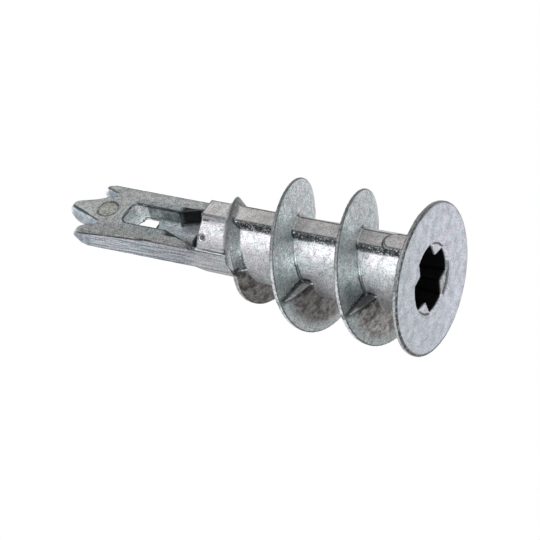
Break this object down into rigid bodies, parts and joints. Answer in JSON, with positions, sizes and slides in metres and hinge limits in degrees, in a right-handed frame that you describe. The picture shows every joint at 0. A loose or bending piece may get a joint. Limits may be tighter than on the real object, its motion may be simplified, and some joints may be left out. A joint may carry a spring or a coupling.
{
  "type": "plasterboard anchor",
  "caption": "Self-drilling plasterboard anchor in cast zinc alloy: flat round head with a cross recess, hollow barrel with a coarse deep thread, and a pronged drill blade with a window.",
  "frame": {"origin": "centre of the head's outer face, which is the lowest point when the anchor stands on its head", "axes": "+Z along the anchor's axis from the head to the drill point, +X across the blade's width, -Y out of the open side of the blade's window"},
  "size_m": [0.015, 0.015, 0.0404],
  "materials": {
    "cast_zinc": "bare die-cast zinc alloy, satin, slightly mottled"
  },
  "bodies": {
    "root": {"anchor_body": "cast_zinc"}
  },
  "joints": []
}
